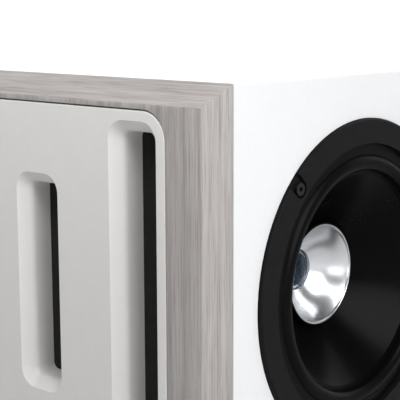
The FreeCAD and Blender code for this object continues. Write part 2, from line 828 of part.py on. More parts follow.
def make_spider(name, kind, seat):
    """A corrugated ring of cloth that centres the coil former in the basket."""
    base = f"(-{kind}_ledge_depth + spider_sheet)"
    outer = f"({kind}_ledge_radius - clearance)"
    inner = f"({kind}_neck_radius + glue_line)"
    flat = f"({kind}_foot_width + spider_flat)"
    steps = 2 * SPIDER_WAVES
    front = [(base, outer), (base, f"{outer} - {flat}")]
    for number in range(1, steps):
        wave = "spider_wave" if number % 2 else "0"
        radius = f"{outer} - {flat} - {number} / {steps} * ({outer} - {inner} - 2 * {flat})"
        front.append((f"{base} + {wave}", radius))
    front += [(base, f"{inner} + {flat}"), (base, inner)]
    rear = [(f"{along} - spider_sheet", radius) for along, radius in reversed(front)]
    keep(put(turned(f"{name}_spider", front + rear), **seat), f"{name}_spider")


def make_motor(name, kind, seat):
    """Front plate, ring magnet and a yoke whose pole stands inside the coil."""
    k = named(kind)
    face = f"(-{k('motor_depth')})"
    plate_back = f"({face} - {k('plate_thick')})"
    magnet_back = f"({plate_back} - {k('magnet_thick')})"
    yoke_back = f"({magnet_back} - {k('back_thick')})"
    gap = f"({k('neck_radius')} + winding + magnet_gap)"
    rings = {
        "top_plate": (face, plate_back, gap, k("plate_radius")),
        "magnet": (plate_back, magnet_back, k("magnet_hole"), k("magnet_radius")),
    }
    for piece, (front, back, hole, radius) in rings.items():
        points = [(front, hole), (front, radius), (back, radius), (back, hole)]
        keep(put(turned(f"{name}_{piece}", points), **seat), f"{name}_{piece}")
    points = [
        (face, "0"),
        (face, k("pole_radius")),
        (magnet_back, k("pole_radius")),
        (magnet_back, k("plate_radius")),
        (yoke_back, k("plate_radius")),
        (yoke_back, "0"),
    ]
    keep(put(turned(f"{name}_yoke", points), **seat), f"{name}_yoke")


def make_dust_cap(name, kind, seat):
    """A domed cap over the middle of the midrange cone, glued inside its neck."""
    s = driver_stations(kind)
    radius = f"({s['neck']} - former_wall - glue_line)"
    base = f"(-{s['neck_depth']} + {s['paper']} / 2)"
    points = domed_shell(base, radius, f"{radius} / 3", s["paper"])
    keep(put(turned(f"{name}_dust_cap", points), **seat), f"{name}_dust_cap")


def domed_shell(base, radius, rise, sheet_thick):
    """The outline of a thin dome that stands on base and rises along the axis."""
    sphere = f"(({radius})^2 + ({rise})^2) / (2 * ({rise}))"
    inner_radius, inner_rise = f"({radius} - {sheet_thick})", f"({rise} - {sheet_thick})"
    inner_sphere = f"(({inner_radius})^2 + ({inner_rise})^2) / (2 * ({inner_rise}))"
    return [
        (base, inner_radius),
        (base, radius, sphere, "right"),
        (f"{base} + {rise}", "0"),
        (f"{base} + {inner_rise}", "0", inner_sphere, "left"),
    ]


def make_coaxial_pieces(name, seat):
    """The metal waveguide, the small dome at its throat and the motor that drives it."""
    wall = "guide_wall"
    points = [
        ("-guide_base_depth", "throat_radius"),
        ("-throat_depth - throat_round / 3", "throat_radius", "throat_round", "left"),
        ("-throat_depth + throat_round / 4", "throat_radius + throat_round / 3"),
        ("-mouth_depth", "mouth_radius"),
        ("-mouth_depth", f"mouth_radius + {wall}"),
        ("-throat_depth + throat_round / 4", f"throat_radius + throat_round / 3 + 1.4 * {wall}"),
        ("-throat_depth", "guide_base_radius"),
        ("-guide_base_depth", "guide_base_radius"),
    ]
    keep(put(turned(f"{name}_waveguide", points), **seat), f"{name}_waveguide")

    base = "(-guide_base_depth + glue_line)"
    shell = domed_shell(base, "dome_radius", "dome_rise", "dome_sheet")
    former_end = f"({base} - tweeter_groove + 1)"
    dome = [
        (former_end, "dome_radius - dome_sheet"),
        (former_end, "dome_radius"),
        shell[1],
        shell[2],
        shell[3],
        (base, "dome_radius - dome_sheet"),
    ]
    keep(put(turned(f"{name}_dome", dome), **seat), f"{name}_dome")

    groove = "(-guide_base_depth - tweeter_groove)"
    motor = [
        ("-guide_base_depth - clearance", "0"),
        ("-guide_base_depth - clearance", "dome_radius - dome_sheet - magnet_gap / 2"),
        (groove, "dome_radius - dome_sheet - magnet_gap / 2"),
        (groove, "dome_radius + magnet_gap / 2"),
        ("-guide_base_depth", "dome_radius + magnet_gap / 2"),
        ("-guide_base_depth", "guide_base_radius"),
        ("-side_motor_depth", "guide_base_radius"),
        ("-side_motor_depth", "0"),
    ]
    keep(put(turned(f"{name}_tweeter_motor", motor), **seat), f"{name}_tweeter_motor")


def make_driver_screws(name, kind, seat):
    screws = []
    for number, (up, along) in enumerate(screw_circle(kind)):
        base = (f"{kind}_flange_proud - screw_head_height - screw_sink", along, up)
        screws.append(screw(f"{name}_screw_{number}", base, facing("+X")))
    keep(put(group(f"{name}_screws", screws), **seat), f"{name}_screws")


def make_driver(name, kind, seat):
    make_basket(name, kind, seat)
    make_surround(name, kind, seat)
    make_cone(name, kind, seat)
    make_voice_coil(name, kind, seat)
    make_motor(name, kind, seat)
    make_driver_screws(name, kind, seat)
    if kind == "side":
        make_spider(name, kind, seat)
        make_coaxial_pieces(name, seat)
    else:
        make_dust_cap(name, kind, seat)


# ---------------------------------------------------------------- feet, terminals and crossover


def make_feet():
    screws = []
    under = ("0", "0", "-overlap")
    for name, (x, y) in foot_places().items():
        cone = doc.addObject("Part::Cone", f"foot_cone_{name}")
        bind(cone, Radius1="foot_radius", Radius2="foot_top_radius", Height="foot_height")
        recess = rod(f"foot_recess_{name}", "foot_recess_radius", "foot_height / 2 + overlap", under, "+Z")
        hole = rod(f"foot_hole_{name}", "screw_radius + screw_fit", "2 * foot_height", under, "+Z")
        keep(put(cut(f"foot_{name}", cone, recess, hole), x, y), f"foot_{name}")
        upside_down = FreeCAD.Rotation(AHEAD, 180)
        screws.append(screw(f"foot_screw_{name}", (x, y, "foot_height / 2"), upside_down))
    keep(group("foot_screws", screws), "foot_screws")


def make_terminals():
    size = ("terminal_width", "terminal_sheet", "terminal_height")
    plate = centred_box("terminal_blank", size, ("0", f"{BACK} - terminal_sheet / 2", "terminal_rise"))
    holes = []
    for name, side in (("red", "-1"), ("black", "1")):
        x = f"{side} * post_spacing / 2"
        base = (x, f"{BACK} - panel", "terminal_rise")
        holes.append(rod(f"post_hole_{name}", "post_radius + clearance", "2 * panel", base, "+Y"))
        make_post(name, x)
    screws = []
    for number, (x, z) in enumerate(terminal_screw_places()):
        base = (x, f"{BACK} - panel", z)
        holes.append(rod(f"terminal_hole_{number}", "screw_radius + screw_fit", "2 * panel", base, "+Y"))
        screws.append(screw(f"terminal_screw_{number}", (x, BACK, z), facing("+Y")))
    keep(cut("terminal_plate", plate, *holes), "terminal_plate")
    keep(group("terminal_screws", screws), "terminal_screws")


def make_post(name, x):
    """A binding post: a stud with a socket in its end, a loose collar and the knob that clamps it."""
    seat = {"x": x, "y": BACK, "z": "terminal_rise", "turn": FreeCAD.Rotation(UP, 90)}
    stud = [
        ("-post_tail", "0"),
        ("-post_tail", "post_radius"),
        ("0", "post_radius"),
        ("0", "post_flange_radius"),
        ("post_flange_thick", "post_flange_radius"),
        ("post_flange_thick", "post_radius"),
        ("post_reach", "post_radius"),
        ("post_reach", "socket_radius"),
        ("post_reach - socket_depth", "socket_radius"),
        ("post_reach - socket_depth", "0"),
    ]
    keep(put(turned(f"post_{name}", stud), **seat), f"post_{name}")
    bore = "post_radius + running_gap"
    collar_end = "post_flange_thick + clearance + collar_thick"
    collar = [
        ("post_flange_thick + clearance", bore),
        ("post_flange_thick + clearance", "collar_radius"),
        (collar_end, "collar_radius"),
        (collar_end, bore),
    ]
    keep(put(turned(f"collar_{name}", collar), **seat), f"collar_{name}")
    start = f"({collar_end} + clearance)"
    knob = [
        (start, bore),
        (start, "knob_radius"),
        (f"{start} + knob_length", "knob_radius"),
        (f"{start} + knob_length", bore),
    ]
    body = turned(f"knob_blank_{name}", knob)
    flutes = []
    circle = "(knob_radius + knob_flute_radius / 2)"
    for number in range(KNOB_FLUTES):
        angle = number * 360 / KNOB_FLUTES
        base = (f"{start} + knob_band", f"{circle} * cos({angle})", f"{circle} * sin({angle})")
        flutes.append(rod(f"flute_{name}_{number}", "knob_flute_radius", "knob_length", base, "+X"))
    keep(put(cut(f"knob_{name}", body, *flutes), **seat), f"knob_{name}")


def make_crossover():
    """The crossover board on four pillars on the bottom panel, with its coils and capacitors."""
    floor = "foot_height + panel"
    y = f"({WHITE_FRONT} + side_from_front)"
    rise = f"({floor} + board_rise)"
    size = ("board_width", "board_depth", "board_thick")
    pieces = [centred_box("board", size, ("0", y, f"{rise} + board_thick / 2"))]
    for x_side in (-1, 1):
        for y_side in (-1, 1):
            x = f"{x_side} * (board_width / 2 - pillar_inset)"
            base = (x, f"{y} + {y_side} * (board_depth / 2 - pillar_inset)", floor)
            pillar = ("pillar_radius", "board_rise + board_thick / 2")
            pieces.append(rod(f"pillar_{x_side + 1}_{y_side + 1}", *pillar, base, "+Z"))
    keep(fuse("crossover_board", *pieces), "crossover_board")

    top = f"({rise} + board_thick)"
    coils = []
    capacitors = []
    for number, side in enumerate((-1, 1)):
        place = (f"{side} * board_width / 4", f"{y} - board_depth / 4", top)
        winding = rod(f"coil_{number}", "coil_radius", "coil_height", place, "+Z")
        core = rod(f"coil_core_{number}", "coil_hole", "3 * coil_height", place, "+Z")
        coils.append(cut(f"coil_wound_{number}", winding, core))
        x = f"{side} * board_width / 4 - capacitor_length / 2"
        place = (x, f"{y} + board_depth / 4", f"{top} + capacitor_radius")
        capacitors.append(rod(f"capacitor_{number}", "capacitor_radius", "capacitor_length", place, "+X"))
    keep(group("crossover_coils", coils), "crossover_coils")
    keep(group("crossover_capacitors", capacitors), "crossover_capacitors")


# ---------------------------------------------------------------- build, test and write

seats = driver_seats()
make_cabinet(seats)
make_front_frame()
make_slotted_plate()
make_grille_cloth()
for driver, (kind, seat) in seats.items():
    make_driver(driver, kind, seat)
make_feet()
make_terminals()
make_crossover()
doc.recompute()

for item in doc.Objects:
    faults = [state for state in item.State if state in ("Invalid", "Error")]
    if faults:
        raise RuntimeError(f"{item.Name} did not build: {faults}")
for item in kept:
    if item.Shape.isNull() or not item.Shape.isValid():
        raise RuntimeError(f"{item.Label} has no sound shape")

os.makedirs("parts", exist_ok=True)
for item in kept:
    item.Shape.exportStep(f"parts/{item.Label}.step")
print(len(kept), "sub-parts written")
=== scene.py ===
"""The looks of a bookshelf loudspeaker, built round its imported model.

Metres. +X is the speaker's right, the slotted front faces -Y, and +Z is up.
"""

import json
import math

import bpy
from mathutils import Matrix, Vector


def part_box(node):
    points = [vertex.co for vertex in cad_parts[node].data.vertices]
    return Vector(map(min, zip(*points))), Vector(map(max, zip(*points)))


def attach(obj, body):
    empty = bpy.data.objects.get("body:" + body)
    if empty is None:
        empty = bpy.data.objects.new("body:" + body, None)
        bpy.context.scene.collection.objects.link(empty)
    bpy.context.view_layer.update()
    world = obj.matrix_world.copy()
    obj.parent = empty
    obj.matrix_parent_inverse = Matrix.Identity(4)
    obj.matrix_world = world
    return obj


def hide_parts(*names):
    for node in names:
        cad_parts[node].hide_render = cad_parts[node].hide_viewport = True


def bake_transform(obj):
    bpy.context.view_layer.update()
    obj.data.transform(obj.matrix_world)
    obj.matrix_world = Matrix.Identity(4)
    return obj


SIDES = {"right": 1, "left": -1}

# front
BEVEL_IN = 0.0123
OPENING_GAP = 0.0008
PLATE_CORNER = 0.016
OAK_EDGE = 0.0004
CLOTH_THICK = 0.0005

# side drivers
FOOT_WIDTH = 0.0026
RIM_WIDTH = 0.0066
ROLL_RISE = 0.0024
RUBBER = 0.0008
GUIDE_WALL = 0.0012
GUIDE_FOOT = 0.0032
THROAT_RADIUS = 0.0126
THROAT_LENGTH = 0.0022
FLARE = 0.16
RING_WIDTH = 0.0019
# thickness of the black ring painted as a line round each waveguide's mouth
BLACK_LINE_RADIUS = 0.0007

# midrange driver
MID_RIM_WIDTH = 0.0016
MID_FOOT_WIDTH = 0.0016
MID_ROLL_RISE = 0.0022
MID_RUBBER = 0.0005

# camera
CAMERA_PLACE = Vector((0.5603, -0.5982, 0.2920))
CAMERA_TURN = 41.92
CAMERA_TILT = 9.64
CAMERA_ROLL = 0.19
LENS = 105.8
SENSOR = 36.0

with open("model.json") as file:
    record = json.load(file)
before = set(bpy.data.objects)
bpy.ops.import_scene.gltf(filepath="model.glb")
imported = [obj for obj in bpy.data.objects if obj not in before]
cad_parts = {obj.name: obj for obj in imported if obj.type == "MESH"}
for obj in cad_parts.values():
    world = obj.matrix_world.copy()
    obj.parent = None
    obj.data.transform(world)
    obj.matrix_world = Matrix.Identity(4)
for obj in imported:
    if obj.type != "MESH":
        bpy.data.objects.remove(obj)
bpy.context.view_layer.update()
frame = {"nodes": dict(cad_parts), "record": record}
nodes = frame["nodes"]

CABINET_LOW, CABINET_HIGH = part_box("right_panel")
FACE = CABINET_HIGH.x
MIDDLE_HEIGHT = (CABINET_LOW.z + CABINET_HIGH.z) / 2
CONE_LOW, CONE_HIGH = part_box("right_cone")
DRIVER_Y = (CONE_LOW.y + CONE_HIGH.y) / 2
DRIVER_Z = (CONE_LOW.z + CONE_HIGH.z) / 2


# ---------------------------------------------------------------- tools for shaping


def deselect_all():
    for item in bpy.context.selected_objects:
        item.select_set(False)


def finish_shape(piece, smooth=35):
    """Ends a piece: its place goes into its mesh, and edges flatter than the angle shade smooth."""
    if bpy.context.mode != "OBJECT":
        bpy.ops.object.mode_set(mode="OBJECT")
    deselect_all()
    piece.select_set(True)
    bpy.context.view_layer.objects.active = piece
    bpy.ops.object.transform_apply(location=True, rotation=True, scale=True)
    bpy.ops.object.shade_smooth_by_angle(angle=math.radians(smooth))
    return piece


def add_block(name, low, high):
    """A cube stretched from one corner to the other, ready to be shaped."""
    deselect_all()
    bpy.ops.mesh.primitive_cube_add(size=1, location=(Vector(low) + Vector(high)) / 2)
    piece = bpy.context.active_object
    piece.name = name
    piece.scale = Vector(high) - Vector(low)
    bpy.ops.object.transform_apply(location=True, rotation=True, scale=True)
    return piece


def edit(piece):
    deselect_all()
    piece.select_set(True)
    bpy.context.view_layer.objects.active = piece
    bpy.ops.object.mode_set(mode="EDIT")


def choose(piece, kind, wanted):
    """In edit mode, selects the faces, edges or vertices that wanted() picks, and nothing else."""
    bpy.ops.mesh.select_mode(type=kind)
    bpy.ops.mesh.select_all(action="DESELECT")
    bpy.ops.object.mode_set(mode="OBJECT")
    mesh = piece.data
    parts = {"FACE": mesh.polygons, "EDGE": mesh.edges, "VERT": mesh.vertices}[kind]
    for part in parts:
        part.select = wanted(part)
    bpy.ops.object.mode_set(mode="EDIT")


def ends_of(piece, edge):
    return [piece.data.vertices[number].co for number in edge.vertices]


def runs_back(piece):
    """A test for the edges that run from front to back."""

    def test(edge):
        start, end = ends_of(piece, edge)
        run = end - start
        return abs(run.y) > 0.99 * run.length

    return test


def apply_modifier(piece, kind, **settings):
    deselect_all()
    piece.select_set(True)
    bpy.context.view_layer.objects.active = piece
    modifier = piece.modifiers.new(kind.title(), kind)
    for setting, value in settings.items():
        setattr(modifier, setting, value)
    bpy.ops.object.modifier_apply(modifier=modifier.name)


def cut_out(piece, cutter):
    apply_modifier(piece, "BOOLEAN", object=cutter, operation="DIFFERENCE", solver="EXACT")
    bpy.data.objects.remove(cutter, do_unlink=True)


def rounded_block(name, low, high, radius, segments=14):
    """A block whose four edges from front to back are rounded."""
    piece = add_block(name, low, high)
    edit(piece)
    choose(piece, "EDGE", runs_back(piece))
    bpy.ops.mesh.bevel(offset=radius, segments=segments, profile=0.5, affect="EDGES", clamp_overlap=False)
    bpy.ops.object.mode_set(mode="OBJECT")
    return piece


def on_driver(side, along, radius):
    """A point of a side driver's section: along its axis from the cabinet's face, and out from the axis."""
    return Vector((SIDES[side] * (FACE + along), DRIVER_Y, DRIVER_Z + radius))


def spin_round(name, points, axis, centre, steps=144):
    """Traces the points as one loop, spins it about the axis and welds it into a closed skin."""
    deselect_all()
    bpy.ops.mesh.primitive_plane_add(size=0.001, location=(0, 0, 0))
    piece = bpy.context.active_object
    piece.name = name
    bpy.ops.object.mode_set(mode="EDIT")
    bpy.ops.mesh.select_mode(type="VERT")
    bpy.ops.mesh.select_all(action="SELECT")
    bpy.ops.mesh.merge(type="CENTER")
    bpy.ops.mesh.select_all(action="SELECT")
    bpy.ops.transform.translate(value=points[0])
    here = points[0]
    for point in points[1:] + points[:1]:
        bpy.ops.mesh.extrude_region_move(TRANSFORM_OT_translate={"value": point - here})
        here = point
    bpy.ops.mesh.select_all(action="SELECT")
    bpy.ops.mesh.remove_doubles(threshold=1e-6)
    bpy.ops.mesh.select_all(action="SELECT")
    bpy.ops.mesh.spin(steps=steps, angle=2 * math.pi, center=centre, axis=axis)
    bpy.ops.mesh.select_all(action="SELECT")
    bpy.ops.mesh.remove_doubles(threshold=2e-6)
    bpy.ops.mesh.select_all(action="SELECT")
    bpy.ops.mesh.normals_make_consistent(inside=False)
    bpy.ops.object.mode_set(mode="OBJECT")
    return piece


def arc(centre, radius, first, last, steps):
    """Points along an arc in a section, given as (along, radius) about its centre, angles in degrees."""
    points = []
    for step in range(steps + 1):
        angle = math.radians(first + (last - first) * step / steps)
        points.append((centre[0] + radius * math.sin(angle), centre[1] + radius * math.cos(angle)))
    return points


def low_arch(base, middle, half, rise, steps):
    """Points over a shallow arch, from its outer end to its inner one."""
    radius = (half**2 + rise**2) / (2 * rise)
    spread = math.degrees(math.asin(half / radius))
    return arc((base + rise - radius, middle), radius, 90 - spread, 90 + spread, steps)


def put_in_place(piece, finish, *replaced, body=None):
    """The piece takes its finish, stands for the nodes that it replaces and rides on its body."""
    piece.data.materials.clear()
    piece.data.materials.append(FINISHES[finish])
    if replaced:
        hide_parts(*replaced)
    if body:
        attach(piece, body)


# ---------------------------------------------------------------- tools for finishes


class Finish:
    """A material and short ways to add to it."""

    def __init__(self, name, **settings):
        self.material = bpy.data.materials.new(name)
        self.material.use_nodes = True
        self.tree = self.material.node_tree
        self.shader = self.tree.nodes["Principled BSDF"]
        for setting, value in settings.items():
            self.shader.inputs[setting.replace("_", " ")].default_value = value
        self.normal = None

    def add(self, kind, **settings):
        node = self.tree.nodes.new(kind)
        for setting, value in settings.items():
            if setting in node.inputs:
                node.inputs[setting].default_value = value
            else:
                setattr(node, setting, value)
        return node

    def link(self, output, target):
        self.tree.links.new(output, target)

    def place(self, stretch=(1, 1, 1), centre=(0, 0, 0)):
        """Object coordinates, measured from the centre and stretched."""
        coordinates = self.add("ShaderNodeTexCoord")
        shift = self.add("ShaderNodeMapping")
        shift.inputs["Location"].default_value = [-c * s for c, s in zip(centre, stretch)]
        shift.inputs["Scale"].default_value = stretch
        self.link(coordinates.outputs["Object"], shift.inputs["Vector"])
        return shift.outputs["Vector"]

    def noise(self, vector, scale, detail=4.0, roughness=0.55):
        node = self.add("ShaderNodeTexNoise", Scale=scale, Detail=detail, Roughness=roughness)
        self.link(vector, node.inputs["Vector"])
        return node.outputs["Fac"]

    def math(self, operation, first, second=0.5):
        node = self.add("ShaderNodeMath", operation=operation)
        for number, value in enumerate((first, second)):
            if isinstance(value, (int, float)):
                node.inputs[number].default_value = value
            else:
                self.link(value, node.inputs[number])
        return node.outputs[0]

    def ramp(self, factor, *stops):
        """Colours along the factor, each stop given as (place, colour)."""
        node = self.add("ShaderNodeValToRGB")
        elements = node.color_ramp.elements
        while len(elements) < len(stops):
            elements.new(0.5)
        for element, (place, colour) in zip(elements, stops):
            element.position = place
            element.color = (*colour, 1)
        self.link(factor, node.inputs["Fac"])
        return node.outputs["Color"]

    def range(self, factor, low, high):
        node = self.add("ShaderNodeMapRange")
        node.inputs["To Min"].default_value = low
        node.inputs["To Max"].default_value = high
        self.link(factor, node.inputs["Value"])
        return node.outputs["Result"]

    def colour(self, output):
        self.link(output, self.shader.inputs["Base Color"])

    def roughness(self, factor, low, high):
        self.link(self.range(factor, low, high), self.shader.inputs["Roughness"])

    def bump(self, height, strength, distance):
        """Adds relief on top of any relief that is already there."""
        node = self.add("ShaderNodeBump", Strength=strength, Distance=distance)
        self.link(height, node.inputs["Height"])
        if self.normal:
            self.link(self.normal, node.inputs["Normal"])
        self.normal = node.outputs["Normal"]
        self.link(self.normal, self.shader.inputs["Normal"])

    def rings(self, per_metre):
        """Fine turning marks round the side drivers' axis, as a factor."""
        vector = self.place((0, 1, 1), (0, DRIVER_Y, DRIVER_Z))
        length = self.add("ShaderNodeVectorMath", operation="LENGTH")
        self.link(vector, length.inputs[0])
        return self.math("SINE", self.math("MULTIPLY", length.outputs["Value"], 2 * math.pi * per_metre))


def mottled(name, dark, light, rough, scale, relief=0.0, depth=0.0002, **settings):
    """A finish with a fine, uneven colour, sheen and grain."""
    finish = Finish(name, **settings)
    vector = finish.place()
    patches = finish.noise(vector, scale / 12, 3)
    grain = finish.noise(vector, scale, 5)
    both = finish.math("ADD", finish.math("MULTIPLY", grain, 0.6), finish.math("MULTIPLY", patches, 0.4))
    finish.colour(finish.ramp(both, (0.3, dark), (0.7, light)))
    finish.roughness(patches, *rough)
    if relief:
        finish.bump(grain, relief, depth)
    return finish


def white_lacquer():
    finish = mottled(
        "white_lacquer", (0.765, 0.77, 0.785), (0.795, 0.80, 0.81), (0.27, 0.36), 420,
        relief=0.05, depth=0.0004, Coat_Weight=0.35, Coat_Roughness=0.12,
    )
    return finish.material


def greyed_oak():
    """Open-pored oak: the grain runs up the sides and the face, and across on the top and bottom bevels."""
    finish = Finish("greyed_oak", Coat_Weight=0.25, Coat_Roughness=0.3)
    upright = finish.place((1, 1, 0.016))
    across = finish.place((0.016, 1, 1))
    facing = finish.add("ShaderNodeNewGeometry").outputs["True Normal"]
    parts = finish.add("ShaderNodeSeparateXYZ")
    finish.link(facing, parts.inputs[0])
    level = finish.math("GREATER_THAN", finish.math("ABSOLUTE", parts.outputs["Z"]), 0.3)
    pick = finish.add("ShaderNodeMix", data_type="VECTOR")
    finish.link(level, pick.inputs["Factor"])
    finish.link(upright, pick.inputs["A"])
    finish.link(across, pick.inputs["B"])
    vector = pick.outputs["Result"]
    streaks = finish.noise(vector, 850, 8, 0.7)
    bands = finish.noise(vector, 150, 4, 0.6)
    pores = finish.noise(vector, 2000, 3, 0.6)
    tone = finish.math("ADD", finish.math("MULTIPLY", streaks, 0.6), finish.math("MULTIPLY", bands, 0.4))
    wood = finish.ramp(
        tone, (0.36, (0.265, 0.240, 0.228)), (0.50, (0.380, 0.354, 0.341)), (0.64, (0.470, 0.445, 0.430)),
    )
    dark = finish.ramp(pores, (0.38, (0.62, 0.58, 0.56)), (0.48, (1, 1, 1)))
    mix = finish.add("ShaderNodeMix", data_type="RGBA", blend_type="MULTIPLY")
    mix.inputs["Factor"].default_value = 0.6
    finish.link(wood, mix.inputs["A"])
    finish.link(dark, mix.inputs["B"])
    finish.colour(mix.outputs["Result"])
    finish.roughness(streaks, 0.38, 0.55)
    finish.bump(streaks, 0.22, 0.0002)
    finish.bump(pores, 0.12, 0.0001)
    return finish.material


def warm_grey_plastic():
    finish = mottled(
        "warm_grey_plastic", (0.665, 0.655, 0.640), (0.705, 0.695, 0.680), (0.36, 0.46), 900,
        relief=0.12, depth=0.0002,
    )
    return finish.material


def black_cloth():
    """Acoustic cloth: threads cross over and under, with small gaps between them."""
    finish = Finish("black_cloth", Sheen_Weight=0.08, Sheen_Roughness=0.5, Specular_IOR_Level=0.1)
    vector = finish.place()
    parts = finish.add("ShaderNodeSeparateXYZ")
    finish.link(vector, parts.inputs[0])
    threads = 2 * math.pi / 0.0011
    warp = finish.math("SINE", finish.math("MULTIPLY", parts.outputs["X"], threads))
    weft = finish.math("SINE", finish.math("MULTIPLY", parts.outputs["Z"], threads))
    weave = finish.math("MULTIPLY", warp, weft)
    height = finish.range(weave, 0.0, 1.0)
    height.node.inputs["From Min"].default_value = -1.0
    fluff = finish.noise(vector, 1600, 3)
    tone = finish.math("ADD", finish.math("MULTIPLY", height, 0.7), finish.math("MULTIPLY", fluff, 0.3))
    finish.colour(finish.ramp(tone, (0.25, (0.001, 0.001, 0.001)), (0.8, (0.022, 0.022, 0.020))))
    finish.roughness(fluff, 0.75, 0.95)
    finish.bump(height, 0.8, 0.0004)
    return finish.material


def black_cast_metal():
    finish = mottled(
        "black_cast_metal", (0.006, 0.006, 0.0063), (0.012, 0.012, 0.0123), (0.42, 0.55), 1400,
        relief=0.3, depth=0.0003, Specular_IOR_Level=0.06,
    )
    return finish.material


def black_rubber():
    finish = mottled(
        "black_rubber", (0.002, 0.002, 0.0022), (0.004, 0.004, 0.0043), (0.28, 0.38), 1000,
        relief=0.08, depth=0.0002, Specular_IOR_Level=0.06,
    )
    return finish.material


def black_cone():
    finish = mottled(
        "black_cone", (0.0015, 0.0015, 0.0017), (0.003, 0.003, 0.0033), (0.22, 0.30), 700,
        relief=0.02, depth=0.0002, Specular_IOR_Level=0.05,
    )
    return finish.material


def polished_metal():
    finish = mottled(
        "polished_metal", (0.78, 0.795, 0.82), (0.87, 0.88, 0.90), (0.22, 0.30), 300,
        Metallic=1.0,
    )
    finish.bump(finish.rings(4000), 0.03, 0.00003)
    return finish.material


def blue_dome():
    """Dark blue anodised metal with a pale ring at its rim."""
    finish = Finish("blue_dome", Metallic=0.85)
    vector = finish.place((0, 1, 1), (0, DRIVER_Y, DRIVER_Z))
    length = finish.add("ShaderNodeVectorMath", operation="LENGTH")
    finish.link(vector, length.inputs[0])
    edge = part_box("right_dome")[1].z - DRIVER_Z - RING_WIDTH
    ring = finish.math("GREATER_THAN", length.outputs["Value"], edge)
    fine = finish.noise(finish.place(), 900, 4)
    blue = finish.ramp(fine, (0.3, (0.014, 0.026, 0.044)), (0.7, (0.022, 0.038, 0.060)))
    pale = finish.ramp(fine, (0.3, (0.30, 0.34, 0.38)), (0.7, (0.38, 0.42, 0.46)))
    mix = finish.add("ShaderNodeMix", data_type="RGBA")
    finish.link(ring, mix.inputs["Factor"])
    finish.link(blue, mix.inputs["A"])
    finish.link(pale, mix.inputs["B"])
    finish.colour(mix.outputs["Result"])
    finish.roughness(fine, 0.22, 0.32)
    finish.bump(finish.rings(3000), 0.05, 0.00004)
    return finish.material


def coil_wire():
    """Enamelled copper laid turn by turn."""
    finish = mottled(
        "coil_wire", (0.50, 0.20, 0.07), (0.66, 0.30, 0.12), (0.25, 0.38), 500, Metallic=0.9,
    )
    parts = finish.add("ShaderNodeSeparateXYZ")
    finish.link(finish.place(), parts.inputs[0])
    along = finish.math("ADD", parts.outputs["X"], parts.outputs["Z"])
    turns = finish.math("SINE", finish.math("MULTIPLY", along, 2 * math.pi / 0.0007))
    finish.bump(turns, 0.5, 0.0002)
    return finish.material


def spider_cloth():
    finish = mottled(
        "spider_cloth", (0.42, 0.28, 0.10), (0.55, 0.39, 0.17), (0.7, 0.85), 1100, relief=0.5, depth=0.0004,
    )
    return finish.material


def ferrite():
    finish = mottled(
        "ferrite", (0.035, 0.036, 0.04), (0.06, 0.061, 0.066), (0.55, 0.75), 800, relief=0.3, depth=0.0003,
    )
    return finish.material


def plated_steel():
    finish = mottled(
        "plated_steel", (0.50, 0.50, 0.50), (0.62, 0.62, 0.61), (0.26, 0.42), 260,
        relief=0.04, Metallic=1.0,
    )
    return finish.material


def black_screw():
    finish = mottled(
        "black_screw", (0.012, 0.012, 0.013), (0.030, 0.030, 0.032), (0.28, 0.42), 1200,
        relief=0.1, Metallic=0.7,
    )
    return finish.material


def foot_rubber():
    finish = mottled(
        "foot_rubber", (0.018, 0.018, 0.018), (0.032, 0.032, 0.031), (0.7, 0.85), 900,
        relief=0.35, depth=0.0003,
    )
    return finish.material


def black_plastic():
    finish = mottled(
        "black_plastic", (0.012, 0.012, 0.0125), (0.022, 0.022, 0.023), (0.42, 0.55), 1500,
        relief=0.4, depth=0.0003,
    )
    return finish.material


def gold_plated():
    finish = mottled(
        "gold_plated", (0.78, 0.55, 0.20), (0.88, 0.66, 0.30), (0.14, 0.24), 500, Metallic=1.0,
    )
    return finish.material


def red_plastic():
    finish = mottled(
        "red_plastic", (0.36, 0.010, 0.012), (0.46, 0.018, 0.018), (0.18, 0.28), 600,
        relief=0.03, Coat_Weight=0.4, Coat_Roughness=0.08,
    )
    return finish.material


def knob_black_plastic():
    finish = mottled(
        "knob_black_plastic", (0.008, 0.008, 0.009), (0.014, 0.014, 0.015), (0.18, 0.28), 600,
        relief=0.03, Coat_Weight=0.4, Coat_Roughness=0.08,
    )
    return finish.material


def circuit_board():
    """Green solder mask over copper tracks."""
    finish = mottled(
        "circuit_board", (0.010, 0.10, 0.035), (0.016, 0.14, 0.05), (0.25, 0.35), 500,
    )
    tracks = finish.add("ShaderNodeTexBrick", Scale=45.0)
    finish.link(finish.place(), tracks.inputs["Vector"])
    finish.bump(tracks.outputs["Fac"], 0.4, 0.0001)
    return finish.material


def capacitor_case():
    finish = mottled(
        "capacitor_case", (0.60, 0.40, 0.03), (0.70, 0.48, 0.05), (0.2, 0.3), 400, relief=0.02,
    )
    return finish.material


def bare_board():
    """Fibreboard: short pressed fibres."""
    finish = mottled(
        "bare_board", (0.33, 0.22, 0.13), (0.46, 0.33, 0.21), (0.75, 0.9), 1100, relief=0.4, depth=0.0003,
    )
    return finish.material


FINISHES = {
    make.__name__: make()
    for make in (
        white_lacquer, greyed_oak, warm_grey_plastic, black_cloth, black_cast_metal, black_rubber,
        black_cone, polished_metal, blue_dome, coil_wire, spider_cloth, ferrite, plated_steel,
        black_screw, foot_rubber, black_plastic, gold_plated, red_plastic, knob_black_plastic,
        circuit_board, capacitor_case, bare_board,
    )
}


def dress_nodes():
    """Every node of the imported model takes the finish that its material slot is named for."""
    for part in frame["record"]["subparts"]:
        node = nodes[part["node"]]
        node.data.materials.clear()
        node.data.materials.append(FINISHES[part["material_slot"]])


# ---------------------------------------------------------------- front


